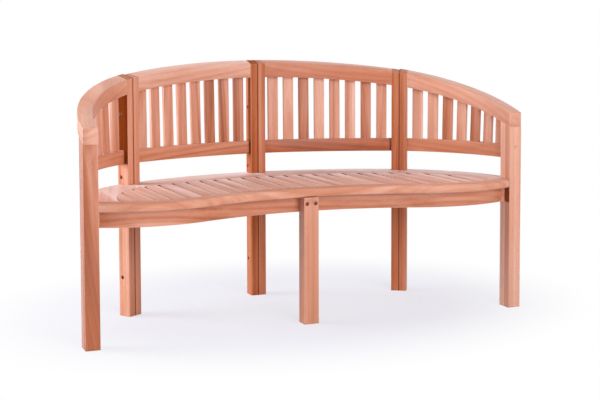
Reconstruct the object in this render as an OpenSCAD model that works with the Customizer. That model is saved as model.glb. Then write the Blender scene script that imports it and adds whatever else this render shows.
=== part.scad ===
// Curved garden bench in teak: four slatted panels in an arc, a kidney-shaped slatted seat
// and six legs. X runs to the sitter's left, Y to the back and Z up. The origin is on the
// floor, midway between the sides and midway between the front and the back.

/* [Plan of the back] */
// Radius of the two back panels, at the sitter's face of the posts
back_r = 956; // [950:1:962]
// Angle from the middle post to a corner post
back_angle = 30.8; // [30.6:0.1:31]
// Radius of the two arm panels, at the sitter's face of the posts
arm_r = 440; // [434:1:446]
// Angle at which an arm panel meets its front leg
arm_angle = 88.4; // [88:0.1:89]

/* [Heights] */
// Top of the middle post at the sitter's face
middle_h = 824; // [810:1:840]
// Top of a corner post at the sitter's face
corner_h = 788; // [780:1:796]
// Top of an arm above its front post, at the sitter's face
arm_h = 671; // [660:1:680]
// Top of the seat
seat_h = 438; // [430:1:446]

/* [Posts and legs] */
// Width of a stile along the panel
stile_w = 27.5; // [26:0.5:30]
// Depth of a stile and of the top rails
stile_d = 45; // [42:1:48]
// Width of the middle front leg
leg_w = 50; // [46:1:54]
// Depth of the middle front leg
leg_d = 44; // [40:1:48]

/* [Rails] */
// Height of the top rails
rail_h = 48; // [44:1:52]
// Height of the top face of the lower rails above the floor
low_rail_top = 551; // [540:1:560]
// Height of the lower rails
low_rail_h = 45; // [40:1:50]
// Thickness of the lower rails
low_rail_t = 22; // [20:1:24]
// Distance from the sitter's face of the posts back to the lower rails
low_rail_set = 16; // [14:1:18]
// Bow of a lower rail in a back panel
back_bow = 22; // [18:1:26]
// Bow of a lower rail in an arm panel
arm_bow = 38; // [34:1:42]
// Rise of a back top rail towards the rear, per millimetre
back_rise = 0.25; // [0.2:0.01:0.3]
// Rise of an arm rail away from the sitter, per millimetre
arm_rise = 0.18; // [0.15:0.01:0.21]

/* [Back slats] */
// Width of a back slat
slat_w = 37; // [34:1:40]
// Thickness of a back slat
slat_t = 12; // [10:1:14]
// Distance from the sitter's face of the posts back to the middle of a slat at the top
slat_set = 28; // [26:1:30]
// Number of slats in a back panel
back_slats = 8; // [7:1:9]
// Number of slats in an arm panel
arm_slats = 7; // [6:1:7]
// Depth of a slat's end in its rail
slat_tenon = 12; // [8:1:16]

/* [Seat] */
// Distance that the seat's front lobes reach in front of the front posts' seams
front_out = 70.5; // [64:0.5:77]
// Thickness of the seat's border boards
board_t = 28; // [26:1:30]
// Distance that the border reaches behind the sitter's face of the posts
seat_reach = 40; // [36:1:42]
// Distance from the middle post's face to the slatted field
border_w = 100; // [96:1:104]
// Width of the border at the two ends of the slatted field
end_border_w = 69; // [66:1:72]
// Radius of the hollow in the middle of the front edge
wave_r = 945; // [935:1:955]
// Radius of the two lobes of the front edge
lobe_r = 430; // [422:1:436]
// Angle at which the hollow turns into a lobe
wave_angle = 22; // [21.6:0.1:22.4]
// Width of the front board
front_board_w = 46; // [44:1:48]
// Radius of the front board's nose
nose_r = 8; // [4:1:10]
// Width of a seat slat
seat_slat_w = 45; // [42:1:46]
// Distance from one seat slat to the next
seat_pitch = 52.6; // [52.5:0.1:53.5]
// Thickness of a seat slat
seat_slat_t = 22; // [20:1:24]
// Thickness of a seat slat's tongue
tongue_t = 8; // [6:1:10]
// Length of a seat slat's tongue
tongue_l = 10; // [6:1:12]

/* [Seat frame] */
// Height of the frame under the border boards
frame_h = 50; // [46:1:54]
// Thickness of the side and back rails of the seat frame
frame_t = 18; // [16:1:20]
// Thickness of the front apron
apron_t = 28; // [26:1:30]
// Distance from the front board's edge back to the apron, in the middle
apron_set = 38; // [36:1:40]
// Radius of the apron's two lobes
apron_lobe_r = 402; // [396:1:410]

/* [Fasteners] */
// Diameter of the connector bolts
bolt_d = 6; // [5:1:8]
// Height of the lowest connector bolts
bolt_low_z = 129; // [115:1:145]
// Height of the middle connector bolts
bolt_middle_z = 462; // [455:1:475]
// Height of the top connector bolts
bolt_top_z = 670; // [640:1:700]
// Distance from the sitter's face of the posts back to a connector bolt
bolt_set = 31; // [29:1:32]
// Diameter of a bolt head and of a sleeve nut's flange
head_d = 12; // [11:0.5:12.5]
// Height of a bolt head
head_h = 4; // [3:0.5:5]
// Clearance around a bolt head in its counterbore
head_gap = 0.5; // [0.3:0.1:0.8]
// Wall of a sleeve nut
sleeve_wall = 1.5; // [1:0.1:2]
// Length of a sleeve nut
sleeve_l = 14; // [10:1:18]
// Depth that the middle leg's bolts reach into the apron
leg_bolt_depth = 16; // [12:1:20]
// Depth of a counterbore
counterbore = 7; // [6:0.5:8]
// Height of the two bolts that hold the middle front leg
leg_bolt_z = 390; // [386:1:394]
// Half the distance between those two bolts
leg_bolt_x = 15; // [13:1:17]
// Diameter of the wooden peg through a front leg
peg_d = 10; // [8:1:12]
// Distance from the top of an arm down to the wooden peg
peg_drop = 122; // [115:1:125]
// Depth of a wooden peg in the stile behind the front leg
peg_depth = 10; // [8:1:12]
// Diameter of the screws between the seat frame and the posts
screw_d = 5; // [4:0.5:6]

/* [Hidden] */
$fn = 96;
curve_fn = 360;
// Cuts run this far past a face, and half-spaces are blocks of this size
past = 1;
far = 1500;
wood = [0.76, 0.53, 0.38];
steel = [0.6, 0.6, 0.58];
// Plan: centres of the panels and of the front wave
arm_x = (back_r - arm_r) * sin(back_angle);
arm_from_back = (back_r - arm_r) * cos(back_angle);
total_d = back_r + stile_d - arm_from_back - arm_r * cos(arm_angle) + front_out;
back_y = total_d / 2 - stile_d - back_r;
arm_y = back_y + arm_from_back;
wave_y = lobe_r - total_d / 2 - (wave_r + lobe_r) * cos(wave_angle);
// The slatted field: its ends are round the arms' centres, and its back touches both ends
field_end_r = arm_r - end_border_w;
field_reach = back_r - border_w - arm_from_back;
field_r = (pow(arm_x, 2) + pow(field_reach, 2) - pow(field_end_r, 2)) / (2 * (field_reach - field_end_r));
field_y = arm_y + field_reach - field_r;
field_angle = atan2(arm_x, arm_y - field_y);
// Half the angle of a panel and the direction of its middle
back_half = back_angle / 2;
arm_half = (arm_angle - back_angle) / 2;
arm_mid = (arm_angle + back_angle) / 2;
// Levels
board_z = seat_h - board_t;
slat_z = seat_h - seat_slat_t;
tongue_z = seat_h - (seat_slat_t + tongue_t) / 2;
frame_z = board_z - frame_h;
low_rail_z = low_rail_top - low_rail_h;
// Tenons: length, distance from the faces of a top rail, distance from the faces of a lower rail
tenon_l = 12;
tenon_in = 12;
low_tenon_in = 4;
cap_tenon = 16;
cap_tenon_in = 7;
// Fasteners
bolt_bore = bolt_d + 0.4;
sleeve_d = bolt_d + 2 * sleeve_wall;
sleeve_bore = sleeve_d + 0.4;
front_cover = 8;
bolt_end_gap = 1;
peg_l = stile_w + peg_depth;
peg_z = arm_h - peg_drop;
bolt_levels = [bolt_low_z, bolt_middle_z, bolt_top_z];
screw_z = frame_z + frame_h / 2;
screw_head_d = screw_d * 2;
screw_head_h = 3;
screw_seat = 8;
screw_l = 33;
apron_screw_in = 10;
apron_screw_l = 40;
leg_housing = 1;
leg_bolt_l = leg_d + leg_bolt_depth;

// ---- frames: x = 0 is the seam of a post, y points away from the sitter ----
module middle_post() {
  translate([0, back_y, 0]) children();
}

module corner_post() {
  translate([arm_x, arm_y, 0]) rotate(-back_angle) children();
}

module front_post() {
  translate([arm_x, arm_y, 0]) rotate(-arm_angle) children();
}

module back_panel() {
  translate([0, back_y, 0]) rotate(-back_half) children();
}

module arm_panel() {
  translate([arm_x, arm_y, 0]) rotate(-arm_mid) children();
}

module right_side() {
  mirror([1, 0, 0]) children();
}

// ---- panels, in a frame whose y axis is the middle of the panel ----
function slope(r, half, za, zb) = (zb - za) / (2 * r * sin(half));
function top_z(r, half, za, zb, rise, x, y) =
  za + slope(r, half, za, zb) * (x + r * sin(half)) + rise * (y - r * cos(half));

// Everything under a panel's top face, lowered by drop
module below_top(r, half, za, zb, rise, drop) {
  tilt = slope(r, half, za, zb);
  size = norm([tilt, rise, 1]);
  translate([-r * sin(half), r * cos(half), za - drop])
    rotate([asin(rise / size), atan(-tilt), 0])
      translate([-far, -far, -far]) cube([2 * far, 2 * far, far]);
}

module ring(r, t, z, h) {
  difference() {
    translate([0, 0, z]) cylinder(r = r + t, h = h, $fn = curve_fn);
    translate([0, 0, z - past]) cylinder(r = r, h = h + 2 * past, $fn = curve_fn);
  }
}

// The space between two posts: from the side of the first stile to x = last of the end seam
module between(half, last) {
  intersection() {
    rotate(half) translate([stile_w, -far, 0]) cube([far, 2 * far, far]);
    rotate(-half) translate([last - far, -far, 0]) cube([far, 2 * far, far]);
  }
}

// A block tenon that starts at x = stile_w of a seam and runs into the stile
module tenon(y, t, z, h) {
  translate([stile_w - tenon_l, y, z]) cube([tenon_l + past, t, h]);
}

module top_tenon(r, z) {
  tenon(r + tenon_in, stile_d - 2 * tenon_in, z - rail_h + tenon_in, rail_h - 2 * tenon_in);
}

module low_tenon(r) {
  tenon(r + low_rail_set + low_tenon_in, low_rail_t - 2 * low_tenon_in,
    low_rail_z + low_tenon_in, low_rail_h - 2 * low_tenon_in);
}

// A lower rail's face is an arc through the two stiles that bows by bow
function low_end(r, half) =
  norm([stile_w, r + low_rail_set]) * [sin(half - low_turn(r)), cos(half - low_turn(r))];
function low_turn(r) = atan(stile_w / (r + low_rail_set));
function low_r(r, half, bow) = (pow(low_end(r, half)[0], 2) + bow * bow) / (2 * bow);
function low_y(r, half, bow) = low_end(r, half)[1] + bow - low_r(r, half, bow);

// Angle between a seam and the side of its stile, at the middle of the slats
function slat_edge(r) = asin(stile_w / (r + slat_set));
function slat_arc(r, half) = (half - slat_edge(r)) * PI / 90 * (r + slat_set);
function slat_gap(r, half, n) = (slat_arc(r, half) - n * slat_w) / (n + 1);
function slat_angle(r, half, n, i) =
  slat_edge(r) - half
  + (slat_gap(r, half, n) * (i + 1) + slat_w * (i + 0.5)) / (r + slat_set) * 180 / PI;

// Distance from the panel's centre to the middle of the lower rail
function slat_foot(r, half, bow, a) =
  low_y(r, half, bow) * cos(a)
  + sqrt(pow(low_r(r, half, bow) + low_rail_t / 2, 2) - pow(low_y(r, half, bow) * sin(a), 2));

module slat_blocks(r, half, bow, za, zb, rise, n) {
  top = r + slat_set;
  for (i = [0 : n - 1]) {
    a = slat_angle(r, half, n, i);
    foot = slat_foot(r, half, bow, a);
    up = top_z(r, half, za, zb, rise, top * sin(a), top * cos(a)) - rail_h - low_rail_top;
    rotate(-a) translate([0, foot, low_rail_top]) rotate([-atan((top - foot) / up), 0, 0])
      translate([-slat_w / 2, -slat_t / 2, -slat_tenon])
        cube([slat_w, slat_t, norm([top - foot, up]) + 2 * slat_tenon]);
  }
}

module arm_slat_blocks() {
  slat_blocks(arm_r, arm_half, arm_bow, corner_h, arm_h, arm_rise, arm_slats);
}

module back_slat_blocks() {
  slat_blocks(back_r, back_half, back_bow, middle_h, corner_h, back_rise, back_slats);
}

// A panel's top rail up to x = last of the end seam
module rail_body(r, half, za, zb, rise, last) {
  difference() {
    intersection() {
      ring(r, stile_d, low_rail_top, far);
      between(half, last);
      below_top(r, half, za, zb, rise, 0);
    }
    below_top(r, half, za, zb, rise, rail_h);
  }
}

module low_rail_body(r, half, bow) {
  intersection() {
    translate([0, low_y(r, half, bow), 0])
      ring(low_r(r, half, bow), low_rail_t, low_rail_z, low_rail_h);
    between(half, -stile_w);
  }
}

module low_rail(r, half, bow) {
  low_rail_body(r, half, bow);
  rotate(half) low_tenon(r);
  mirror([1, 0, 0]) rotate(half) low_tenon(r);
}

module arm_rail() {
  color(wood) arm_panel() difference() {
    union() {
      rail_body(arm_r, arm_half, corner_h, arm_h, arm_rise, stile_w);
      rotate(arm_half) top_tenon(arm_r, corner_h);
    }
    arm_slat_blocks();
    rotate(-arm_half) cap_tenon(arm_r, 0);
    rotate(-arm_half) cap_tenon(arm_r, -stile_w);
  }
}

module back_top_rail() {
  color(wood) back_panel() difference() {
    union() {
      rail_body(back_r, back_half, middle_h, corner_h, back_rise, -stile_w);
      rotate(back_half) top_tenon(back_r, middle_h);
      mirror([1, 0, 0]) rotate(back_half) top_tenon(back_r, corner_h);
    }
    back_slat_blocks();
  }
}

module arm_lower_rail() {
  color(wood) arm_panel() difference() {
    low_rail(arm_r, arm_half, arm_bow);
    arm_slat_blocks();
  }
}

module back_lower_rail() {
  color(wood) back_panel() difference() {
    low_rail(back_r, back_half, back_bow);
    back_slat_blocks();
  }
}

module arm_slat_set() {
  color(wood) arm_panel() arm_slat_blocks();
}

module back_slat_set() {
  color(wood) back_panel() back_slat_blocks();
}

// ---- posts ----
// A stile's block in a seam's frame, from x = start
module stile_block(r, start) {
  translate([start, r, 0]) cube([stile_w, stile_d, far]);
}

// The tenon on top of a front stile or leg, under the arm rail that caps it
module cap_tenon(r, start) {
  translate([start + cap_tenon_in, r + tenon_in, low_rail_top])
    cube([stile_w - 2 * cap_tenon_in, stile_d - 2 * tenon_in,
      arm_h - rail_h + cap_tenon - low_rail_top]);
}

module bore(d, x, l) {
  translate([x, 0, 0]) rotate([0, 90, 0]) cylinder(d = d, h = l);
}

// A connector bolt along x through both stiles, with a sleeve nut on the far side
module through_bolt() {
  seat = stile_w - counterbore;
  bore(head_d, -seat - head_h, head_h);
  bore(bolt_d, -seat, 2 * seat - bolt_end_gap);
  bore(head_d, seat, head_h);
  difference() {
    bore(sleeve_d, seat - sleeve_l, sleeve_l);
    bore(bolt_bore, seat - sleeve_l - past, sleeve_l + past);
  }
}

module through_hole() {
  seat = stile_w - counterbore;
  bore(head_d + 2 * head_gap, -stile_w - past, counterbore + past);
  bore(bolt_bore, -seat - past, 2 * seat);
  bore(sleeve_bore, seat - sleeve_l - bolt_end_gap, sleeve_l + bolt_end_gap + past);
  bore(head_d + 2 * head_gap, seat, counterbore + past);
}

// A bolt from the back of the front stile that ends inside the front leg
module blind_bolt() {
  seat = stile_w - counterbore;
  bore(head_d, -seat - head_h, head_h);
  bore(bolt_d, -seat, seat + stile_w - front_cover);
}

module blind_hole() {
  seat = stile_w - counterbore;
  bore(head_d + 2 * head_gap, -stile_w - past, counterbore + past);
  bore(bolt_bore, -seat - past, seat + past + stile_w - front_cover + bolt_end_gap);
}

module at_bolts(r, count) {
  for (i = [0 : count - 1]) translate([0, r + bolt_set, bolt_levels[i]]) children();
}

module peg() {
  translate([0, arm_r + stile_d / 2, peg_z]) bore(peg_d, stile_w - peg_l, peg_l);
}

// A screw through the end of a seat frame rail into the middle of a stile
module frame_screw(r, x) {
  translate([x, r - screw_seat, screw_z]) rotate([-90, 0, 0]) cylinder(d = screw_d, h = screw_l);
  translate([x, r - screw_seat - screw_head_h, screw_z])
    rotate([-90, 0, 0]) cylinder(d = screw_head_d, h = screw_head_h);
}

module frame_screw_hole(r, x) {
  translate([x, r - screw_seat, screw_z]) rotate([-90, 0, 0]) cylinder(d = screw_d, h = screw_l);
  translate([x, r - frame_h, screw_z])
    rotate([-90, 0, 0]) cylinder(d = screw_head_d + 2 * head_gap, h = frame_h - screw_seat);
}

module back_inner_stile() {
  color(wood) difference() {
    intersection() {
      middle_post() stile_block(back_r, 0);
      back_panel() below_top(back_r, back_half, middle_h, corner_h, back_rise, 0);
    }
    back_panel() rotate(back_half) {
      top_tenon(back_r, middle_h);
      low_tenon(back_r);
    }
    middle_post() {
      at_bolts(back_r, 3) through_hole();
      frame_screw_hole(back_r, stile_w / 2);
    }
  }
}

module back_outer_stile() {
  color(wood) difference() {
    intersection() {
      corner_post() stile_block(arm_r, -stile_w);
      back_panel() below_top(back_r, back_half, middle_h, corner_h, back_rise, 0);
    }
    back_panel() mirror([1, 0, 0]) rotate(back_half) {
      top_tenon(back_r, corner_h);
      low_tenon(back_r);
    }
    corner_post() {
      at_bolts(arm_r, 3) through_hole();
      frame_screw_hole(arm_r, -stile_w / 2);
    }
  }
}

module arm_rear_stile() {
  color(wood) difference() {
    intersection() {
      corner_post() stile_block(arm_r, 0);
      arm_panel() below_top(arm_r, arm_half, corner_h, arm_h, arm_rise, 0);
    }
    arm_panel() rotate(arm_half) {
      top_tenon(arm_r, corner_h);
      low_tenon(arm_r);
    }
    corner_post() {
      at_bolts(arm_r, 3) through_hole();
      frame_screw_hole(arm_r, stile_w / 2);
    }
  }
}

module arm_front_stile() {
  color(wood) difference() {
    union() {
      intersection() {
        front_post() stile_block(arm_r, -stile_w);
        arm_panel() below_top(arm_r, arm_half, corner_h, arm_h, arm_rise, rail_h);
      }
      front_post() cap_tenon(arm_r, -stile_w);
    }
    arm_panel() mirror([1, 0, 0]) rotate(arm_half) low_tenon(arm_r);
    front_post() {
      at_bolts(arm_r, 2) blind_hole();
      peg();
      frame_screw_hole(arm_r, -stile_w / 2);
    }
  }
}

module front_leg() {
  color(wood) difference() {
    union() {
      intersection() {
        front_post() stile_block(arm_r, 0);
        arm_panel() below_top(arm_r, arm_half, corner_h, arm_h, arm_rise, rail_h);
      }
      front_post() cap_tenon(arm_r, 0);
    }
    front_post() {
      at_bolts(arm_r, 2) blind_hole();
      peg();
    }
  }
}

// ---- seat ----
// Everything in front of a waved line with a hollow of radius rw and lobes of radius rl.
// The hollow's circle and the lobes' circles touch, so neither cuts into the other.
module in_front(rw, rl, z, h) {
  lobe = [(rw + rl) * sin(wave_angle), wave_y + (rw + rl) * cos(wave_angle)];
  translate([0, wave_y, z]) cylinder(r = rw, h = h, $fn = curve_fn);
  for (side = [1, -1]) difference() {
    lobe_wedge(lobe, side, z, h);
    translate([side * lobe[0], lobe[1], z - past]) cylinder(r = rl, h = h + 2 * past, $fn = curve_fn);
  }
}

module wave_wedge(lobe, z, h) {
  translate([0, 0, z]) linear_extrude(h)
    polygon([[0, wave_y], lobe, [-lobe[0], lobe[1]]]);
}

module lobe_wedge(lobe, side, z, h) {
  translate([0, 0, z]) linear_extrude(h)
    polygon([[0, wave_y], [side * lobe[0], lobe[1]], [side * far, lobe[1]],
      [side * far, wave_y - far], [0, wave_y - far]]);
}

// The slatted field's outline at the back and the ends, widened by grow
module field(grow, z, h) {
  end = [sin(field_angle), cos(field_angle)];
  intersection() {
    translate([0, field_y, z]) cylinder(r = field_r + grow, h = h, $fn = curve_fn);
    translate([0, 0, z]) linear_extrude(h)
      polygon([[0, field_y], [far * end[0], field_y + far * end[1]],
        [-far * end[0], field_y + far * end[1]]]);
  }
  for (side = [1, -1]) translate([side * arm_x, arm_y, z])
    cylinder(r = field_end_r + grow, h = h, $fn = curve_fn);
}

// The groove for the tongues of the seat slats
module tongue_field() {
  difference() {
    field(tongue_l, tongue_z, tongue_t);
    in_front(wave_r + front_board_w - tongue_l, lobe_r - front_board_w + tongue_l,
      tongue_z - past, tongue_t + 2 * past);
  }
}

module seat_slat(i) {
  x = (i - 1) * seat_pitch + (seat_pitch - seat_slat_w) / 2;
  color(wood) {
    difference() {
      intersection() {
        field(0, slat_z, seat_slat_t);
        translate([x, -far, slat_z]) cube([seat_slat_w, 2 * far, seat_slat_t]);
      }
      in_front(wave_r + front_board_w, lobe_r - front_board_w, slat_z - past, seat_slat_t + 2 * past);
    }
    intersection() {
      tongue_field();
      translate([x, -far, tongue_z]) cube([seat_slat_w, 2 * far, tongue_t]);
    }
  }
}

// The left seat frame rails, straight bars between two posts
module frame_bar(r, half) {
  outer = r * cos(half) + stile_w * sin(half);
  inner = outer - frame_t;
  translate([0, 0, frame_z]) linear_extrude(frame_h) polygon([
    [-r * sin(half) + stile_w * cos(half), outer],
    [r * sin(half) - stile_w * cos(half), outer],
    [r * sin(half), r * cos(half)],
    [inner * tan(half), inner],
    [-inner * tan(half), inner],
    [-r * sin(half), r * cos(half)]]);
}

function apron_screw_x() = arm_r * sin(arm_half) - stile_w * cos(arm_half) - apron_screw_in;
function bar_face(r, half) = r * cos(half) + stile_w * sin(half);

// The screw through the side rail into the end of the apron, in the arm panel's frame
module apron_screw(recess_d, out) {
  translate([apron_screw_x(), bar_face(arm_r, arm_half), screw_z]) rotate([90, 0, 0]) {
    translate([0, 0, -out]) cylinder(d = recess_d, h = screw_head_h + out);
    cylinder(d = screw_d, h = apron_screw_l);
  }
}

module seat_side_rail() {
  color(wood) difference() {
    arm_panel() frame_bar(arm_r, arm_half);
    arm_panel() apron_screw(screw_head_d + 2 * head_gap, past);
    corner_post() frame_screw_hole(arm_r, stile_w / 2);
    front_post() frame_screw_hole(arm_r, -stile_w / 2);
  }
}

module seat_back_rail() {
  color(wood) difference() {
    back_panel() frame_bar(back_r, back_half);
    middle_post() frame_screw_hole(back_r, stile_w / 2);
    corner_post() frame_screw_hole(arm_r, -stile_w / 2);
  }
}

module leg_block() {
  back = wave_y + wave_r + apron_set + leg_housing;
  translate([-leg_w / 2, back - leg_d, 0]) cube([leg_w, leg_d, board_z]);
}

module at_leg_bolts() {
  front = wave_y + wave_r + apron_set + leg_housing - leg_d;
  for (x = [-leg_bolt_x, leg_bolt_x]) translate([x, front, leg_bolt_z]) rotate(90) children();
}

module leg_bolt() {
  bore(head_d, counterbore - head_h, head_h);
  bore(bolt_d, counterbore, leg_bolt_l - counterbore);
}

module leg_hole() {
  bore(head_d + 2 * head_gap, -past, counterbore + past);
  bore(bolt_bore, 0, leg_bolt_l + bolt_end_gap);
}

// The half of the space on the seat's side of a plane at y = face
module seat_side(face) {
  translate([-2 * far, face - 4 * far, 0]) cube([4 * far, 4 * far, far]);
}

module apron_blank() {
  difference() {
    in_front(wave_r + apron_set + apron_t, apron_lobe_r - apron_t, frame_z, slat_z - frame_z);
    in_front(wave_r + apron_set, apron_lobe_r, frame_z - past, slat_z - frame_z + 2 * past);
  }
}

module seat_front_apron() {
  color(wood) difference() {
    intersection() {
      apron_blank();
      arm_panel() seat_side(bar_face(arm_r, arm_half) - frame_t);
      right_side() arm_panel() seat_side(bar_face(arm_r, arm_half) - frame_t);
    }
    leg_block();
    at_leg_bolts() leg_hole();
    arm_panel() apron_screw(screw_head_d, past);
    right_side() arm_panel() apron_screw(screw_head_d, past);
  }
}

module middle_front_leg() {
  color(wood) difference() {
    leg_block();
    at_leg_bolts() leg_hole();
  }
}

// Section of the front board, rounded on the edge at x = 0
module nose() {
  translate([nose_r, 0]) square([front_board_w - nose_r, board_t]);
  translate([0, nose_r]) square([front_board_w, board_t - 2 * nose_r]);
  for (y = [nose_r, board_t - nose_r]) translate([nose_r, y]) circle(nose_r);
}

module seat_front_board() {
  lobe = [(wave_r + lobe_r) * sin(wave_angle), wave_y + (wave_r + lobe_r) * cos(wave_angle)];
  color(wood) difference() {
    intersection() {
      union() {
        intersection() {
          wave_wedge(lobe, board_z, board_t);
          translate([0, wave_y, board_z])
            rotate_extrude($fn = curve_fn) translate([wave_r, 0]) nose();
        }
        for (side = [1, -1]) intersection() {
          lobe_wedge(lobe, side, board_z, board_t);
          translate([side * lobe[0], lobe[1], board_z])
            rotate_extrude($fn = curve_fn) translate([lobe_r, 0]) mirror([1, 0]) nose();
        }
      }
      front_post() seat_side(arm_r);
      right_side() front_post() seat_side(arm_r);
    }
    apron_blank();
    tongue_field();
  }
}

// The space that both stiles of a post take from a border board
module post_notch(r) {
  translate([-stile_w, r, 0]) cube([2 * stile_w, stile_d, far]);
}

module seat_end_board() {
  color(wood) difference() {
    intersection() {
      translate([arm_x, arm_y, board_z])
        cylinder(r = arm_r + seat_reach, h = board_t, $fn = curve_fn);
      corner_post() translate([0, -far, 0]) cube([far, 2 * far, far]);
    }
    field(0, board_z - past, board_t + 2 * past);
    tongue_field();
    in_front(wave_r + front_board_w, lobe_r - front_board_w, board_z - past, board_t + 2 * past);
    apron_blank();
    corner_post() post_notch(arm_r);
    front_post() translate([-stile_w, arm_r, 0]) cube([far, far, far]);
  }
}

module seat_back_board() {
  color(wood) difference() {
    intersection() {
      translate([0, back_y, board_z])
        cylinder(r = back_r + seat_reach, h = board_t, $fn = curve_fn);
      translate([0, -far, 0]) cube([far, 2 * far, far]);
      corner_post() translate([-2 * far, -far, 0]) cube([2 * far, 2 * far, far]);
    }
    field(0, board_z - past, board_t + 2 * past);
    tongue_field();
    middle_post() post_notch(back_r);
    corner_post() post_notch(arm_r);
  }
}

// ---- fasteners ----
module side_bolts() {
  corner_post() at_bolts(arm_r, 3) through_bolt();
  front_post() at_bolts(arm_r, 2) blind_bolt();
}

module connector_bolts() {
  color(steel) {
    side_bolts();
    right_side() side_bolts();
    middle_post() at_bolts(back_r, 3) through_bolt();
    at_leg_bolts() leg_bolt();
  }
}

module side_screws() {
  middle_post() frame_screw(back_r, stile_w / 2);
  corner_post() for (side = [-1, 1]) frame_screw(arm_r, side * stile_w / 2);
  front_post() frame_screw(arm_r, -stile_w / 2);
  arm_panel() apron_screw(screw_head_d, 0);
}

module seat_screws() {
  color(steel) {
    side_screws();
    right_side() side_screws();
  }
}

module arm_pegs() {
  color(wood) {
    front_post() peg();
    right_side() front_post() peg();
  }
}

front_leg();  // left_front_leg
right_side() front_leg();  // right_front_leg
middle_front_leg();
arm_front_stile();  // left_arm_front_stile
right_side() arm_front_stile();  // right_arm_front_stile
arm_rear_stile();  // left_arm_rear_stile
right_side() arm_rear_stile();  // right_arm_rear_stile
back_outer_stile();  // back_left_outer_stile
right_side() back_outer_stile();  // back_right_outer_stile
back_inner_stile();  // back_left_inner_stile
right_side() back_inner_stile();  // back_right_inner_stile
arm_rail();  // left_arm_rail
right_side() arm_rail();  // right_arm_rail
back_top_rail();  // back_left_top_rail
right_side() back_top_rail();  // back_right_top_rail
arm_lower_rail();  // left_arm_lower_rail
right_side() arm_lower_rail();  // right_arm_lower_rail
back_lower_rail();  // back_left_lower_rail
right_side() back_lower_rail();  // back_right_lower_rail
arm_slat_set();  // left_arm_slats
right_side() arm_slat_set();  // right_arm_slats
back_slat_set();  // back_left_slats
right_side() back_slat_set();  // back_right_slats
seat_end_board();  // seat_end_board_left
right_side() seat_end_board();  // seat_end_board_right
seat_back_board();  // seat_back_board_left
right_side() seat_back_board();  // seat_back_board_right
seat_front_board();
seat_front_apron();
seat_side_rail();  // seat_side_rail_left
right_side() seat_side_rail();  // seat_side_rail_right
seat_back_rail();  // seat_back_rail_left
right_side() seat_back_rail();  // seat_back_rail_right
seat_slat(1);  // seat_slat_l01
seat_slat(2);  // seat_slat_l02
seat_slat(3);  // seat_slat_l03
seat_slat(4);  // seat_slat_l04
seat_slat(5);  // seat_slat_l05
seat_slat(6);  // seat_slat_l06
seat_slat(7);  // seat_slat_l07
seat_slat(8);  // seat_slat_l08
seat_slat(9);  // seat_slat_l09
seat_slat(10);  // seat_slat_l10
seat_slat(11);  // seat_slat_l11
seat_slat(12);  // seat_slat_l12
right_side() seat_slat(1);  // seat_slat_r01
right_side() seat_slat(2);  // seat_slat_r02
right_side() seat_slat(3);  // seat_slat_r03
right_side() seat_slat(4);  // seat_slat_r04
right_side() seat_slat(5);  // seat_slat_r05
right_side() seat_slat(6);  // seat_slat_r06
right_side() seat_slat(7);  // seat_slat_r07
right_side() seat_slat(8);  // seat_slat_r08
right_side() seat_slat(9);  // seat_slat_r09
right_side() seat_slat(10);  // seat_slat_r10
right_side() seat_slat(11);  // seat_slat_r11
right_side() seat_slat(12);  // seat_slat_r12
connector_bolts();
seat_screws();
arm_pegs();
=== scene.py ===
"""Looks of the curved garden bench: soft edges, oiled teak, bolts, floor, light and camera.

Metres, in the frame of the CAD part: X to the sitter's left, Y to the back, Z up.
"""

import math

import bpy
from mathutils import Matrix, Vector


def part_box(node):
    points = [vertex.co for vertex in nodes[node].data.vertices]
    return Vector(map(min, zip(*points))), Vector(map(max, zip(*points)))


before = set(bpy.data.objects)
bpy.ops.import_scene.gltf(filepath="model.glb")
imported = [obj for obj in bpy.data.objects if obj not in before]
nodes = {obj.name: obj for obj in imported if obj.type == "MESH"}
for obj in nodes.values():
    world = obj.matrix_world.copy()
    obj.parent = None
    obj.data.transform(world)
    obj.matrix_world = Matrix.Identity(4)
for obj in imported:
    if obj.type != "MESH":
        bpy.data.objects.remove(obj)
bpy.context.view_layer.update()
MM = 0.001

# Camera, fitted to points measured in the photograph
IMAGE_W = 600
SENSOR = 36.0
FOCAL_PX = 1271.6
HORIZON_PX = -90
CAMERA_AT = Vector((-1.5984, -3.9207, 0.9717))
CAMERA_YAW = math.radians(22.81)
CAMERA_DOWN = math.radians(3.98)
CAMERA_ROLL = math.radians(-0.16)

# Plan of the bench, with the driving sizes of the CAD part: one arc, and a tighter one at each arm
STILE_LOW, STILE_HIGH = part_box("back_left_inner_stile")
STILE_W = STILE_HIGH[0] - STILE_LOW[0]
BACK_R = 956 * MM
BACK_ANGLE = math.radians(30.8)
ARM_R = 440 * MM
ARM_ANGLE = math.radians(88.4)
BACK_Y = STILE_LOW[1] - BACK_R
ARM_X = (BACK_R - ARM_R) * math.sin(BACK_ANGLE)
ARM_Y = BACK_Y + (BACK_R - ARM_R) * math.cos(BACK_ANGLE)

# Panel slats: their width, how far behind the arc they stand, and how many a panel has
SLAT_W = 37 * MM
SLAT_SET = 28 * MM
BACK_SLATS = 8
ARM_SLATS = 7

# Directions, and the sides of the bench as its sitter has them
UP = Vector((0, 0, 1))
BACKWARDS = Vector((0, 1, 0))
LEFT = 1
RIGHT = -1


def srgb(r, g, b):
    """A colour given as it looks on screen, 0 to 255, as linear values."""
    parts = [c / 255 for c in (r, g, b)]
    return [c / 12.92 if c <= 0.04045 else ((c + 0.055) / 1.055) ** 2.4 for c in parts] + [1]


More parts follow.
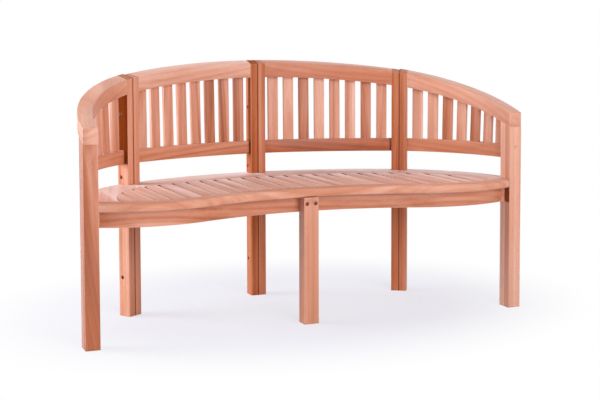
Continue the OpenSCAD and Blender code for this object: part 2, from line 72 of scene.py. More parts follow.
class Tree:
    """Short calls to build a node tree."""

    # A Mix node has these sockets for colours, after the ones for numbers and vectors
    MIX_FACTOR = 0
    MIX_A = 6
    MIX_B = 7
    MIX_RESULT = 2

    def __init__(self, tree):
        self.tree = tree

    def add(self, kind, **settings):
        node = self.tree.nodes.new(kind)
        for key, value in settings.items():
            setattr(node, key, value)
        return node

    def link(self, out, into):
        self.tree.links.new(out, into)

    def feed(self, node, socket, value):
        """A socket's value, or a link where the value is a socket."""
        if isinstance(value, bpy.types.NodeSocket):
            self.link(value, node.inputs[socket])
        else:
            node.inputs[socket].default_value = value

    def math(self, operation, *values):
        node = self.add("ShaderNodeMath", operation=operation)
        for i, value in enumerate(values):
            self.feed(node, i, value)
        return node.outputs[0]

    def vector(self, operation, *values):
        node = self.add("ShaderNodeVectorMath", operation=operation)
        for i, value in enumerate(values):
            self.feed(node, i, value)
        scalar = operation in ("LENGTH", "DOT_PRODUCT")
        return node.outputs["Value" if scalar else "Vector"]

    def split(self, vector):
        node = self.add("ShaderNodeSeparateXYZ")
        self.link(vector, node.inputs[0])
        return node.outputs

    def noise(self, place, scale=1.0, detail=2.0, rough=0.5, dims="3D"):
        node = self.add("ShaderNodeTexNoise", noise_dimensions=dims)
        self.feed(node, "W" if dims == "1D" else "Vector", place)
        node.inputs["Scale"].default_value = scale
        node.inputs["Detail"].default_value = detail
        node.inputs["Roughness"].default_value = rough
        return node.outputs[0]

    def stretched(self, place, scales, detail=2.0, rough=0.5):
        """Noise with a scale of its own along each axis."""
        return self.noise(self.vector("MULTIPLY", place, scales), detail=detail, rough=rough)

    def smooth(self, value, low, high, to_low=0.0, to_high=1.0):
        """A soft step, to_low where the value is at low and to_high where it is at high."""
        node = self.add("ShaderNodeMapRange", interpolation_type="SMOOTHSTEP")
        for i, v in enumerate((value, low, high, to_low, to_high)):
            self.feed(node, i, v)
        return node.outputs[0]

    def ramp(self, value, stops, kind="LINEAR"):
        node = self.add("ShaderNodeValToRGB")
        ramp = node.color_ramp
        ramp.interpolation = kind
        while len(ramp.elements) < len(stops):
            ramp.elements.new(0.5)
        for element, (place, colour) in zip(ramp.elements, stops):
            element.position = place
            element.color = colour
        self.link(value, node.inputs[0])
        return node.outputs[0]

    def mix(self, factor, a, b, blend="MIX"):
        node = self.add("ShaderNodeMix", data_type="RGBA", blend_type=blend)
        self.feed(node, self.MIX_FACTOR, factor)
        self.feed(node, self.MIX_A, a)
        self.feed(node, self.MIX_B, b)
        return node.outputs[self.MIX_RESULT]

    def bump(self, height, strength, depth):
        node = self.add("ShaderNodeBump")
        node.inputs["Strength"].default_value = strength
        node.inputs["Distance"].default_value = depth
        self.link(height, node.inputs["Height"])
        return node.outputs[0]

    def mix_shaders(self, share, first, second):
        """A shader that goes from the first to the second with the share."""
        node = self.add("ShaderNodeMixShader")
        self.link(share, node.inputs[0])
        self.link(first.outputs[0], node.inputs[1])
        self.link(second.outputs[0], node.inputs[2])
        return node

    def show(self, shader, output="ShaderNodeOutputMaterial"):
        """Makes a shader the one that the material or the world shows."""
        self.link(shader.outputs[0], self.add(output).inputs[0])


def new_material(name):
    material = bpy.data.materials.new(name)
    material.use_nodes = True
    material.node_tree.nodes.clear()
    return material, Tree(material.node_tree)


# Colours of teak, from the darkest wood to the palest, of what tints or covers it, and of painted
# shade
TEAK_STOPS = [
    (0.00, srgb(126, 62, 32)),
    (0.25, srgb(176, 100, 63)),
    (0.50, srgb(207, 140, 112)),
    (0.75, srgb(224, 169, 147)),
    (1.00, srgb(240, 199, 182)),
]
WARM_TINT = srgb(255, 232, 205)
END_GRAIN = srgb(228, 210, 192)
PORE = srgb(104, 56, 34)
WORN = srgb(244, 214, 194)
# Painted shade in joints and hollows, partly dust
DUST_AND_SHADE = srgb(92, 44, 24)
# Painted shade on the sides of posts, below the seat and in the seat's gaps by the border
PAINTED_SHADE = srgb(122, 54, 18)
SEAM = srgb(118, 52, 22)

# Scales of the noises, along the grain and across it. Rings and bands go outwards from the pith
WARP_SCALES = (1.5, 8, 8)
FIBRE_SCALES = (8, 400, 400)
STREAK_SCALES = (1.2, 70, 70)
BLOTCH_SCALES = (3.0, 16, 16)
PORE_SCALES = (45, 1500, 1500)
RING_SCALE = 260.0
BAND_SCALE = 48.0

# How far each noise swings the tone
RING_SWING = 0.42
BAND_SWING = 1.0
FIBRE_SWING = 0.30
STREAK_SWING = 0.50
BLOTCH_SWING = 0.60

# Where each soft step starts and ends, how much colour it brings and how far it reaches
PORE_STEP = (0.64, 0.74)
PORE_SHARE = 0.35
SAPWOOD_STEP = (-2 * MM, 3 * MM)
# Painted shade where ambient occlusion finds a hollow, and how far it looks
DUST_AND_SHADE_STEP = (0.58, 0.22)
DUST_AND_SHADE_REACH = 8 * MM
END_GRAIN_STEP = (0.75, 0.97)
CORNER_STEP = (0.995, 0.86)
CORNER_REACH = 3 * MM
WEAR_STEP = (0.3, 0.6)
WEAR_SHARES = (0.04, 0.25)

# Surface of oiled teak
ROUGHNESS = 0.38
FIBRE_ROUGHNESS = 0.18
PORE_ROUGHNESS = 0.2
RING_HEIGHT = 0.5
FIBRE_HEIGHT = 0.5
PORE_HEIGHT = -0.8
BUMP_STRENGTH = 0.25
BUMP_DEPTH = 0.4 * MM
SPECULAR = 0.5
SHEEN = 0.40
SHEEN_ROUGHNESS = 0.3
SHEEN_TINT = (0.93, 0.93, 1.0, 1.0)


def teak_group():
    """Sawn teak in grain space: x along the grain and the pith at y = z = 0.

    Tone 0 is dark and 1 is pale. Figure is how far the rings wander, in metres. Contrast is
    how far the tone swings. Sapwood is the radius past which the wood is paler by Lift.
    """
    group = bpy.data.node_groups.new("sawn_teak", "ShaderNodeTree")
    face = group.interface
    face.new_socket("Vector", in_out="INPUT", socket_type="NodeSocketVector")
    face.new_socket("Normal", in_out="INPUT", socket_type="NodeSocketVector")
    for name in ("Tone", "Warmth", "Figure", "Contrast", "Sapwood", "Lift", "DustAndShade"):
        face.new_socket(name, in_out="INPUT", socket_type="NodeSocketFloat")
    face.new_socket("Color", in_out="OUTPUT", socket_type="NodeSocketColor")
    face.new_socket("Roughness", in_out="OUTPUT", socket_type="NodeSocketFloat")
    face.new_socket("Height", in_out="OUTPUT", socket_type="NodeSocketFloat")
    tree = Tree(group)
    inputs = tree.add("NodeGroupInput").outputs
    outputs = tree.add("NodeGroupOutput").inputs
    place = inputs["Vector"]

    # A slow warp bends the rings, so that flat-sawn faces show arches
    warp = tree.math("SUBTRACT", tree.stretched(place, WARP_SCALES, detail=1.5), 0.5)
    across = tree.vector("MULTIPLY", place, (0, 1, 1))
    radius = tree.math("MULTIPLY_ADD", warp, inputs["Figure"], tree.vector("LENGTH", across))
    rings = tree.noise(radius, RING_SCALE, detail=3.0, rough=0.6, dims="1D")
    bands = tree.noise(radius, BAND_SCALE, detail=1.0, dims="1D")
    fibres = tree.stretched(place, FIBRE_SCALES, rough=0.6)
    streaks = tree.stretched(place, STREAK_SCALES)
    blotches = tree.stretched(place, BLOTCH_SCALES)
    pores = tree.smooth(tree.stretched(place, PORE_SCALES, detail=1.0), *PORE_STEP)

    swing = 0.0
    parts = (
        (rings, RING_SWING),
        (bands, BAND_SWING),
        (fibres, FIBRE_SWING),
        (streaks, STREAK_SWING),
        (blotches, BLOTCH_SWING),
    )
    for part, weight in parts:
        swing = tree.math("MULTIPLY_ADD", tree.math("SUBTRACT", part, 0.5), weight, swing)
    tone = tree.math("MULTIPLY_ADD", swing, inputs["Contrast"], inputs["Tone"])
    sapwood = tree.smooth(tree.math("SUBTRACT", radius, inputs["Sapwood"]), *SAPWOOD_STEP)
    tone = tree.math("MULTIPLY_ADD", sapwood, inputs["Lift"], tone)
    colour = tree.ramp(tone, TEAK_STOPS)
    colour = tree.mix(inputs["Warmth"], colour, WARM_TINT, "MULTIPLY")
    colour = tree.mix(tree.math("MULTIPLY", pores, PORE_SHARE), colour, PORE)

    # Painted shade, with some dust, darkens the joints and hollows that ambient occlusion finds
    hollow = tree.add("ShaderNodeAmbientOcclusion", samples=6)
    hollow.inputs["Distance"].default_value = DUST_AND_SHADE_REACH
    grime = tree.smooth(hollow.outputs["AO"], *DUST_AND_SHADE_STEP)
    colour = tree.mix(tree.math("MULTIPLY", grime, inputs["DustAndShade"]), colour, DUST_AND_SHADE)

    # End grain soaks up more oil
    endwise = tree.math("ABSOLUTE", tree.split(inputs["Normal"])[0])
    colour = tree.mix(tree.smooth(endwise, *END_GRAIN_STEP), colour, END_GRAIN, "MULTIPLY")

    # Corners are a little paler where the oil has worn off
    bevel = tree.add("ShaderNodeBevel", samples=4)
    bevel.inputs["Radius"].default_value = CORNER_REACH
    normal = tree.add("ShaderNodeNewGeometry").outputs["Normal"]
    corner = tree.smooth(tree.vector("DOT_PRODUCT", bevel.outputs[0], normal), *CORNER_STEP)
    wear = tree.math("MULTIPLY", corner, tree.smooth(blotches, *WEAR_STEP, *WEAR_SHARES))
    colour = tree.mix(wear, colour, WORN)
    tree.link(colour, outputs["Color"])

    rough = tree.math("MULTIPLY_ADD", fibres, FIBRE_ROUGHNESS, ROUGHNESS)
    rough = tree.math("MULTIPLY_ADD", pores, PORE_ROUGHNESS, rough)
    tree.link(rough, outputs["Roughness"])
    height = tree.math("MULTIPLY", fibres, FIBRE_HEIGHT)
    height = tree.math("MULTIPLY_ADD", rings, RING_HEIGHT, height)
    height = tree.math("MULTIPLY_ADD", pores, PORE_HEIGHT, height)
    tree.link(height, outputs["Height"])
    return group


SAWN_TEAK = teak_group()

# Each slat of a panel comes from another place in the board, and its grain leans its own way
SLAT_SHIFT = 0.031
SLAT_RISE = 0.73
SLAT_LEAN = 0.05
SLAT_TURN = 2.4


def slat_number(tree, place, side, centre, radius, start, end, count):
    """The number of the slat at a place in a panel, counted from the middle of the bench."""
    edge = math.asin(STILE_W / (radius + SLAT_SET))
    width = SLAT_W / (radius + SLAT_SET)
    gap = (end - start - 2 * edge - count * width) / (count + 1)
    x, y, _ = tree.split(place)
    from_x = tree.math("SUBTRACT", tree.math("MULTIPLY", x, side), centre[0])
    from_y = tree.math("SUBTRACT", y, centre[1])
    angle = tree.math("ARCTAN2", from_x, from_y)
    beyond = tree.math("SUBTRACT", angle, start + edge + gap / 2)
    number = tree.math("MAXIMUM", tree.math("DIVIDE", beyond, width + gap), 0.0)
    return tree.math("FLOOR", tree.math("MINIMUM", number, count - 0.5))


def slat_by_slat(tree, place, tone, panel, lifts):
    """A place in the board and a tone that change from slat to slat, the tone by its lift."""
    number = slat_number(tree, place, *panel)
    share = tree.math("DIVIDE", tree.math("ADD", number, 0.5), len(lifts))
    tones = [tone + lift for lift in lifts]
    stops = [(i / len(tones), (grey, grey, grey, 1)) for i, grey in enumerate(tones)]
    turn = tree.math("SINE", tree.math("MULTIPLY", number, SLAT_TURN))
    aside = tree.math("MULTIPLY", tree.split(place)[2], tree.math("MULTIPLY", turn, SLAT_LEAN))
    step = tree.add("ShaderNodeCombineXYZ")
    tree.link(tree.math("MULTIPLY_ADD", number, SLAT_SHIFT, aside), step.inputs[0])
    tree.link(tree.math("MULTIPLY", number, SLAT_RISE), step.inputs[2])
    return tree.vector("ADD", place, step.outputs[0]), tree.ramp(share, stops, "CONSTANT")


# Each piece comes from another place along the wood
PIECE_SHIFT = 1.37


def grain_space(tree, place, normal, grain, pith, seed):
    """A place and a normal of a piece, turned into the grain space of sawn teak."""
    turn = grain.normalized().rotation_difference(Vector((1, 0, 0)))
    shift = turn @ -pith
    moved = tree.add("ShaderNodeMapping")
    moved.inputs["Rotation"].default_value = turn.to_euler()
    moved.inputs["Location"].default_value = (shift.x + seed * PIECE_SHIFT, shift.y, shift.z)
    tree.link(place, moved.inputs["Vector"])
    turned = tree.add("ShaderNodeMapping", vector_type="NORMAL")
    turned.inputs["Rotation"].default_value = turn.to_euler()
    tree.link(normal, turned.inputs["Vector"])
    return moved.outputs[0], turned.outputs[0]


# Painted shade on the sides of posts, dust in the seams between stiles, and seat slats with sides
# painted lighter and painted shade near their rear ends
PAINTED_SHADE_BLUR = 4 * MM
PAINTED_SHADE_FACING = (0.7, 0.95)
SEAM_FROM = 3 * MM
SEAM_TO = 1 * MM
# Painted light on the sides of seat slats
SIDE_PAINTED_LIGHT = 0.40
SIDE_FACING = (0.25, 0.70)
NOTCH_FROM = 60 * MM
NOTCH_TO = 40 * MM


def painted_shade_on(tree, colour, place, normal, side, low, high, strength):
    """Painted shade on one side of a post between two heights."""
    height = tree.split(place)[2]
    facing = tree.smooth(tree.vector("DOT_PRODUCT", normal, side), *PAINTED_SHADE_FACING)
    above = tree.smooth(height, low - PAINTED_SHADE_BLUR, low + PAINTED_SHADE_BLUR)
    below = tree.smooth(height, high + PAINTED_SHADE_BLUR, high - PAINTED_SHADE_BLUR)
    amount = tree.math("MULTIPLY", tree.math("MULTIPLY", above, below), facing)
    return tree.mix(tree.math("MULTIPLY", amount, strength), colour, PAINTED_SHADE)


def notched(tree, colour, place, slat_sides, rear):
    """Painted shade on the sides of a seat slat near its rear end, by the border."""
    rear_shade = tree.smooth(tree.split(place)[1], rear - NOTCH_FROM, rear - NOTCH_TO)
    return tree.mix(tree.math("MULTIPLY", rear_shade, slat_sides), colour, PAINTED_SHADE)


def seamed(tree, colour, place, side):
    """Dust lies in the joint at the side where a stile of the back touches its neighbour."""
    depth = tree.vector("DOT_PRODUCT", tree.vector("SUBTRACT", place, (0, BACK_Y, 0)), side)
    return tree.mix(tree.smooth(depth, -SEAM_FROM, -SEAM_TO), colour, SEAM)


def show_oiled(tree, colour, wood, gloss):
    """Shows a colour on oiled teak, with the gloss as its share of shine and pale veil."""
    shader = tree.add("ShaderNodeBsdfPrincipled")
    tree.link(colour, shader.inputs["Base Color"])
    tree.link(wood["Roughness"], shader.inputs["Roughness"])
    bump = tree.bump(wood["Height"], BUMP_STRENGTH, BUMP_DEPTH)
    tree.link(bump, shader.inputs["Normal"])
    shader.inputs["Sheen Weight"].default_value = SHEEN * gloss
    shader.inputs["Specular IOR Level"].default_value = SPECULAR * gloss
    shader.inputs["Sheen Roughness"].default_value = SHEEN_ROUGHNESS
    shader.inputs["Sheen Tint"].default_value = SHEEN_TINT
    tree.show(shader)


# A radius that lies past every piece
NO_SAPWOOD = 9.0


def teak(name, grain, pith, seed, tone, warmth=0.3, figure=12, contrast=0.8,
         sapwood=NO_SAPWOOD, lift=0.22, grime=0.75, gloss=1.0,
         slats=None, painted_shades=(), seam=None, rear=None):
    """A teak material whose grain runs along the given direction past the given pith.

    figure is in millimetres. slats are the panel's numbers and the lift of each of its slats.
    Each painted shade is a side of a post, the heights between which it is painted darker and
    how far. seam is the side on which a stile of the back touches its neighbour, with dust
    along the joint. rear is where a seat slat ends: its sides are painted lighter, with painted
    shade by the border. gloss is how much of the shine and the pale veil of oiled teak the
    piece has.
    """
    material, tree = new_material(name)
    coordinates = tree.add("ShaderNodeTexCoord").outputs
    place = coordinates["Object"]
    normal = coordinates["Normal"]
    board_place = place
    if slats is not None:
        board_place, tone = slat_by_slat(tree, place, tone, *slats)
    # The sides of a seat slat are painted lighter: painted light in the gaps between slats
    if rear is not None:
        sideways = tree.math("ABSOLUTE", tree.split(normal)[0])
        slat_sides = tree.smooth(sideways, *SIDE_FACING)
        tone = tree.math("MULTIPLY_ADD", slat_sides, SIDE_PAINTED_LIGHT, tone)

    wood = tree.add("ShaderNodeGroup")
    wood.node_tree = SAWN_TEAK
    grain_place, grain_normal = grain_space(tree, board_place, normal, grain, pith, seed)
    sockets = dict(
        Vector=grain_place, Normal=grain_normal, Tone=tone, Warmth=warmth, Figure=figure * MM,
        Contrast=contrast, Sapwood=sapwood, Lift=lift, DustAndShade=grime)
    for socket, value in sockets.items():
        tree.feed(wood, socket, value)

    colour = wood.outputs["Color"]
    # Painted shade on the sides of posts
    for shade_band in painted_shades:
        colour = painted_shade_on(tree, colour, place, normal, *shade_band)
    # Painted shade on the slat's sides by the border
    if rear is not None:
        colour = notched(tree, colour, place, slat_sides, rear)
    if seam is not None:
        colour = seamed(tree, colour, place, seam)
    show_oiled(tree, colour, wood.outputs, gloss)
    return material


# Steel of the bolts
STEEL_STOPS = [(0.3, srgb(84, 38, 22)), (0.7, srgb(124, 64, 42))]
STEEL_METALLIC = 0.4
STEEL_ROUGHNESS = 0.38
PATCH_SCALE = 180.0
PATCH_ROUGHNESS = 0.2
SCRATCH_SCALES = (300, 3000, 3000)
SCRATCH_ROUGHNESS = 0.15
SCRATCH_STRENGTH = 0.3
SCRATCH_DEPTH = 0.05 * MM


def dark_steel():
    """Bolt steel, brown with oil and dust, with fine scratches and dull patches."""
    material, tree = new_material("dark_steel")
    place = tree.add("ShaderNodeTexCoord").outputs["Object"]
    patches = tree.noise(place, PATCH_SCALE, detail=3.0)
    scratches = tree.stretched(place, SCRATCH_SCALES)
    rough = tree.math("MULTIPLY_ADD", scratches, SCRATCH_ROUGHNESS, STEEL_ROUGHNESS)
    rough = tree.math("MULTIPLY_ADD", patches, PATCH_ROUGHNESS, rough)
    shader = tree.add("ShaderNodeBsdfPrincipled")
    shader.inputs["Metallic"].default_value = STEEL_METALLIC
    tree.link(tree.ramp(patches, STEEL_STOPS), shader.inputs["Base Color"])
    tree.link(rough, shader.inputs["Roughness"])
    bump = tree.bump(scratches, SCRATCH_STRENGTH, SCRATCH_DEPTH)
    tree.link(bump, shader.inputs["Normal"])
    tree.show(shader)
    return material


# Widths of the soft edges, and what counts as one point, as one flat face and as a sharp edge
EDGE = 2 * MM
POST_EDGE = 4 * MM
SEAT_EDGE = 3 * MM
STEEL_EDGE = 0.5 * MM
SAME_POINT = 0.005 * MM
SAME_FACE = math.radians(0.5)
SHARP = math.radians(35)


def soften(node, width, segments=3):
    """Rounds the sharp edges of a CAD node with modifiers and leaves its mesh as it is."""
    weld = node.modifiers.new("weld", "WELD")
    weld.merge_threshold = SAME_POINT
    flat = node.modifiers.new("flat", "DECIMATE")
    flat.decimate_type = "DISSOLVE"
    flat.angle_limit = SAME_FACE
    bevel = node.modifiers.new("edges", "BEVEL")
    bevel.width = width
    bevel.segments = segments
    bevel.limit_method = "ANGLE"
    bevel.angle_limit = SHARP
    bevel.harden_normals = True
    bevel.miter_outer = "MITER_ARC"
    for polygon in node.data.polygons:
        polygon.use_smooth = True


def paint(node, material):
    node.data.materials.clear()
    node.data.materials.append(material)


def middle_of(name):
    low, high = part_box(name)
    return (Vector(low) + Vector(high)) / 2


def bottom_of(name):
    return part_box(name)[0][2]


def top_of(name):
    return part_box(name)[1][2]


def rear_of(name):
    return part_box(name)[1][1]


def longest_way(node):
    """The direction in which a node is longest, from its two vertices that lie farthest apart."""
    points = [vertex.co for vertex in node.data.vertices]
    middle = sum(points, Vector()) / len(points)
    far = max(points, key=lambda point: (point - middle).length)
    other = max(points, key=lambda point: (point - far).length)
    return far - other


# What each slat's tone gains over the tone of its panel, from the middle of the bench outwards
BACK_PANEL = ((0, BACK_Y), BACK_R, 0, BACK_ANGLE, BACK_SLATS)
ARM_PANEL = ((ARM_X, ARM_Y), ARM_R, BACK_ANGLE, ARM_ANGLE, ARM_SLATS)
LEFT_ARM_LIFTS = (0.00, 0.08, -0.26, 0.06, -0.28, 0.00, 0.14)
RIGHT_ARM_LIFTS = (0.06, -0.06, 0.08, -0.04, 0.10, -0.04, 0.04)
LEFT_BACK_LIFTS = (0.06, 0.08, -0.26, 0.06, -0.12, 0.08, -0.22, -0.04)
RIGHT_BACK_LIFTS = (-0.20, -0.14, -0.24, 0.06, -0.02, 0.04, 0.06, 0.14)
SLATS = {
    "left_arm_slats": ((LEFT, *ARM_PANEL), LEFT_ARM_LIFTS),
    "right_arm_slats": ((RIGHT, *ARM_PANEL), RIGHT_ARM_LIFTS),
    "back_left_slats": ((LEFT, *BACK_PANEL), LEFT_BACK_LIFTS),
    "back_right_slats": ((RIGHT, *BACK_PANEL), RIGHT_BACK_LIFTS),
}

# The front board is cut across the edge of the heartwood, which shows in its hollow
FRONT_BOARD_GRAIN = Vector((1, -0.0635, 0))
FRONT_BOARD_PITH = Vector((0, -0.088, 0.511))
FRONT_BOARD_HEART = 0.15

# The side of the middle post that faces the right arm is a paler layer: sapwood, and painted light
# on that side
PITH_ASIDE = 100 * MM
SAPWOOD_AND_LIGHT_LAYER = 3.25 * MM
MIDDLE_POST_PITH = middle_of("back_right_inner_stile") + Vector((PITH_ASIDE, 0, 0))
MIDDLE_POST_LIT_SAPWOOD = PITH_ASIDE + STILE_W / 2 - SAPWOOD_AND_LIGHT_LAYER

# The looks of the pieces that differ from plain teak
LOOKS = {
    "right_front_leg": dict(tone=0.26, warmth=0.4, contrast=0.35),
    "right_arm_front_stile": dict(tone=0.32, warmth=0.4),
    "left_front_leg": dict(tone=0.68, warmth=0.0, contrast=0.50, gloss=0.0),
    "left_arm_front_stile": dict(tone=0.92, warmth=0.2, contrast=0.60),
    "middle_front_leg": dict(tone=0.45, warmth=0.0, figure=4, contrast=0.40),
    "right_arm_rear_stile": dict(tone=0.64, warmth=0.2, figure=20, gloss=0.0),
    "back_right_outer_stile": dict(tone=0.52, warmth=0.2, contrast=0.50, gloss=0.4),
    "back_right_inner_stile": dict(
        tone=0.26, warmth=0.4, figure=6, contrast=0.60, sapwood=MIDDLE_POST_LIT_SAPWOOD, gloss=0.0),
    "back_left_inner_stile": dict(tone=0.38, warmth=0.4, contrast=0.60, gloss=0.4),
    "back_left_outer_stile": dict(tone=0.35, warmth=0.4, contrast=0.60, gloss=0.4),
    "left_arm_rear_stile": dict(tone=0.37, warmth=0.1, contrast=0.60, gloss=0.4),
    "back_left_top_rail": dict(tone=0.38, warmth=0.7, contrast=0.35),
    "back_right_top_rail": dict(tone=0.63, warmth=0.0, figure=24, contrast=0.60),
    "left_arm_rail": dict(tone=0.57, warmth=0.0, figure=16, contrast=0.45),
    "right_arm_rail": dict(tone=0.54, warmth=0.1, figure=16, contrast=0.45),
    "left_arm_slats": dict(tone=0.60, warmth=0.0, figure=30, contrast=0.70),
    "right_arm_slats": dict(tone=0.52, warmth=0.2, figure=20, contrast=0.60),
    "back_left_slats": dict(tone=0.56, warmth=0.2, figure=30, contrast=0.70),
    "back_right_slats": dict(tone=0.48, warmth=0.0, figure=26, contrast=0.70),
    "left_arm_lower_rail": dict(tone=0.50, warmth=0.5, contrast=0.42),
    "right_arm_lower_rail": dict(tone=0.48, warmth=0.6, figure=24, contrast=0.50),
    "back_left_lower_rail": dict(tone=0.22, warmth=1.0, figure=20, contrast=0.55),
    "back_right_lower_rail": dict(tone=0.40, warmth=0.3, figure=16, contrast=0.60),
    "seat_front_apron": dict(tone=0.35, warmth=0.0, figure=8, contrast=0.45),
    "seat_front_board": dict(
        tone=0.44, warmth=0.0, figure=3, contrast=0.45, sapwood=FRONT_BOARD_HEART, lift=0.10,
        gloss=0.3),
}

# Sides of the posts. An arm side is the side of a rear post that faces the arm
RIGHT_SIDE = Vector((-1, 0, 0))
RIGHT_ARM_SIDE = Vector((-math.cos(BACK_ANGLE), -math.sin(BACK_ANGLE), 0))
LEFT_ARM_SIDE = Vector((math.cos(BACK_ANGLE), -math.sin(BACK_ANGLE), 0))
RIGHT_REAR_FRONT = Vector((math.sin(BACK_ANGLE), -math.cos(BACK_ANGLE), 0))

# Painted shade on one side of three posts, beside the right arm's slats, a lower rail and the
# apron, and on the front of the right rear post below the seat
BESIDE_ARM = (
    RIGHT_ARM_SIDE, bottom_of("right_arm_lower_rail"), bottom_of("back_right_top_rail"), 1.0)
BESIDE_RAIL = (
    RIGHT_SIDE, bottom_of("back_right_lower_rail"), top_of("back_right_lower_rail"), 1.0)
BESIDE_APRON = (RIGHT_SIDE, bottom_of("seat_front_apron"), top_of("seat_front_apron"), 0.9)
BELOW_SEAT = (RIGHT_REAR_FRONT, 0.0, top_of("seat_front_apron"), 0.38)
PAINTED_SHADES = {
    "right_arm_rear_stile": (BESIDE_ARM, BELOW_SEAT),
    "back_right_outer_stile": (BELOW_SEAT,),
    "back_right_inner_stile": (BESIDE_RAIL,),
    "left_front_leg": (BESIDE_APRON,),
}

# The side on which each stile of the three posts of the back touches its neighbour
SEAMS = {
    "back_right_inner_stile": -RIGHT_SIDE,
    "back_left_inner_stile": RIGHT_SIDE,
    "back_right_outer_stile": RIGHT_ARM_SIDE,
    "right_arm_rear_stile": -RIGHT_ARM_SIDE,
    "back_left_outer_stile": LEFT_ARM_SIDE,
    "left_arm_rear_stile": -LEFT_ARM_SIDE,
}

# Grain and pith of the pieces that differ
GRAINS = {
    "seat_front_board": FRONT_BOARD_GRAIN,
    "right_front_leg": Vector((-0.14, 0, 1)),
}
PITHS = {
    "seat_front_board": FRONT_BOARD_PITH,
    "back_right_inner_stile": MIDDLE_POST_PITH,
}

# The pith lies above the panels' rails and the apron, and on some side of each other piece
PITH_ABOVE = 220 * MM
PITH_BESIDE = 90 * MM
PITH_LEAN = 0.3
PIECE_TURN = 2.4

# The tone of plain teak, and how far it goes up and down from piece to piece
PLAIN_TONE = 0.54
TONE_SPREAD = 0.09
STEEL_NODES = ("connector_bolts", "seat_screws")


def is_post(name):
    return "stile" in name or "leg" in name


def is_seat_slat(name):
    return "seat_slat" in name


def grain_of(name):
    if name in GRAINS:
        return GRAINS[name]
    if is_seat_slat(name):
        return BACKWARDS
    if is_post(name) or name.endswith("_slats"):
        return UP
    return longest_way(nodes[name])


def pith_of(name, around):
    if name in PITHS:
        return PITHS[name]
    if name.endswith(("rail", "apron")):
        return middle_of(name) + Vector((0, PITH_LEAN * math.cos(around), 1)) * PITH_ABOVE
    aside = Vector((math.cos(around), math.sin(around), PITH_LEAN * math.sin(3 * around)))
    return middle_of(name) + aside * PITH_BESIDE


def look_of(name, around):
    look = dict(
        tone=PLAIN_TONE + TONE_SPREAD * math.sin(around), slats=SLATS.get(name),
        painted_shades=PAINTED_SHADES.get(name, ()), seam=SEAMS.get(name))
    look.update(LOOKS.get(name, {}))
    if is_seat_slat(name):
        look.update(grime=0.0, rear=rear_of(name))
    return look


def edge_of(name):
    if is_post(name):
        return POST_EDGE
    if is_seat_slat(name):
        return SEAT_EDGE
    return EDGE


def dress():
    """Gives every CAD node its material and its soft edges."""
    steel = dark_steel()
    for seed, name in enumerate(sorted(nodes)):
        node = nodes[name]
        if name in STEEL_NODES:
            paint(node, steel)
            soften(node, STEEL_EDGE, segments=2)
            continue
        around = PIECE_TURN * seed
        look = look_of(name, around)
        paint(node, teak("teak_" + name, grain_of(name), pith_of(name, around), seed, **look))
        soften(node, edge_of(name))


# Floor: its own colour, the veil that the camera sees over it, and an oval that fades to white
FLOOR_SIZE = 40.0
FLOOR_DROP = 0.2 * MM
FLOOR_SHADE = srgb(222, 229, 240)
FLOOR_SEEN = srgb(249, 247, 253)
FLOOR_VEIL = 0.7
FADE_CENTRE = (0.0, 0.08, 0.0)
FADE_SHAPE = (1.0, 1.3, 1.0)
FADE_FROM = 0.50
FADE_TO = 1.2

# Light: how strongly the world lights, and the name, place, aim, width and power of each softbox
WORLD_LIGHT = 0.28
SOFTBOXES = (
    ("front", (0.3, -4.2, 1.5), (0, 0, 0.5), 3.0, 142),
    ("left", (-3.5, 1.4, 1.6), (0, 0, 0.5), 2.6, 150),
    ("above", (0.2, 0.6, 3.4), (0, 0, 0.4), 2.6, 26),
)


def add_floor():
    """A pale floor that keeps the shadow under the bench and fades to white around it."""
    bpy.ops.mesh.primitive_plane_add(size=FLOOR_SIZE, location=(0, 0, -FLOOR_DROP))
    floor = bpy.context.object
    floor.name = "studio_floor"
    material, tree = new_material("pale_floor")
    path = tree.add("ShaderNodeLightPath").outputs
    seen = tree.math("MAXIMUM", path["Is Camera Ray"], path["Is Glossy Ray"])
    place = tree.add("ShaderNodeTexCoord").outputs["Object"]
    flat = tree.vector("MULTIPLY", tree.vector("SUBTRACT", place, FADE_CENTRE), FADE_SHAPE)
    away = tree.smooth(tree.vector("LENGTH", flat), FADE_FROM, FADE_TO)
    diffuse = tree.add("ShaderNodeBsdfDiffuse")
    diffuse.inputs["Color"].default_value = FLOOR_SHADE
    veil = tree.add("ShaderNodeEmission")
    veil.inputs["Color"].default_value = FLOOR_SEEN
    near = tree.mix_shaders(tree.math("MULTIPLY", seen, FLOOR_VEIL), diffuse, veil)
    white = tree.add("ShaderNodeEmission")
    tree.show(tree.mix_shaders(tree.math("MULTIPLY", seen, away), near, white))
    floor.data.materials.append(material)


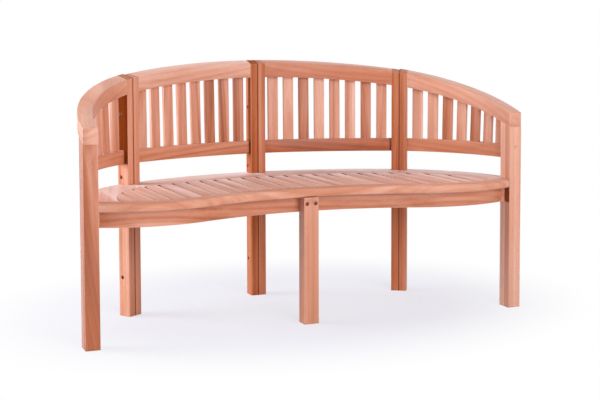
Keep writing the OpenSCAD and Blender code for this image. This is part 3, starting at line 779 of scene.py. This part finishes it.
def add_world():
    """Even light, which the camera and reflections see as white."""
    world = bpy.data.worlds.new("studio")
    bpy.context.scene.world = world
    world.use_nodes = True
    world.node_tree.nodes.clear()
    tree = Tree(world.node_tree)
    path = tree.add("ShaderNodeLightPath").outputs
    seen = tree.math("MAXIMUM", path["Is Camera Ray"], path["Is Transmission Ray"])
    seen = tree.math("MAXIMUM", seen, path["Is Glossy Ray"])
    strength = tree.math("MULTIPLY_ADD", seen, 1 - WORLD_LIGHT, WORLD_LIGHT)
    shade = tree.add("ShaderNodeBackground")
    tree.link(strength, shade.inputs["Strength"])
    shade.inputs["Color"].default_value = (1, 1, 1, 1)
    tree.show(shade, "ShaderNodeOutputWorld")


def add_softbox(name, at, target, size, power):
    light = bpy.data.lights.new(name, "AREA")
    light.shape = "DISK"
    light.size = size
    light.energy = power
    lamp = bpy.data.objects.new(name, light)
    lamp.location = at
    lamp.rotation_euler = (Vector(target) - Vector(at)).to_track_quat("-Z", "Y").to_euler()
    bpy.context.collection.objects.link(lamp)


def add_camera():
    """The camera of the photograph, turned down and rolled a little, with a shifted lens."""
    forward = Vector((
        math.sin(CAMERA_YAW) * math.cos(CAMERA_DOWN),
        math.cos(CAMERA_YAW) * math.cos(CAMERA_DOWN),
        -math.sin(CAMERA_DOWN)))
    right = Vector((math.cos(CAMERA_YAW), -math.sin(CAMERA_YAW), 0))
    up = right.cross(forward)
    rolled_right = right * math.cos(CAMERA_ROLL) + up * math.sin(CAMERA_ROLL)
    rolled_up = up * math.cos(CAMERA_ROLL) - right * math.sin(CAMERA_ROLL)
    data = bpy.data.cameras.new("camera")
    data.sensor_width = SENSOR
    data.lens = FOCAL_PX / IMAGE_W * SENSOR
    data.shift_y = HORIZON_PX / IMAGE_W
    camera = bpy.data.objects.new("camera", data)
    turn = Matrix((rolled_right, rolled_up, -forward)).transposed().to_4x4()
    camera.matrix_world = Matrix.Translation(CAMERA_AT) @ turn
    bpy.context.collection.objects.link(camera)
    bpy.context.scene.camera = camera


dress()
add_floor()
add_world()
for softbox in SOFTBOXES:
    add_softbox(*softbox)
add_camera()
bpy.context.scene.view_settings.view_transform = "Standard"
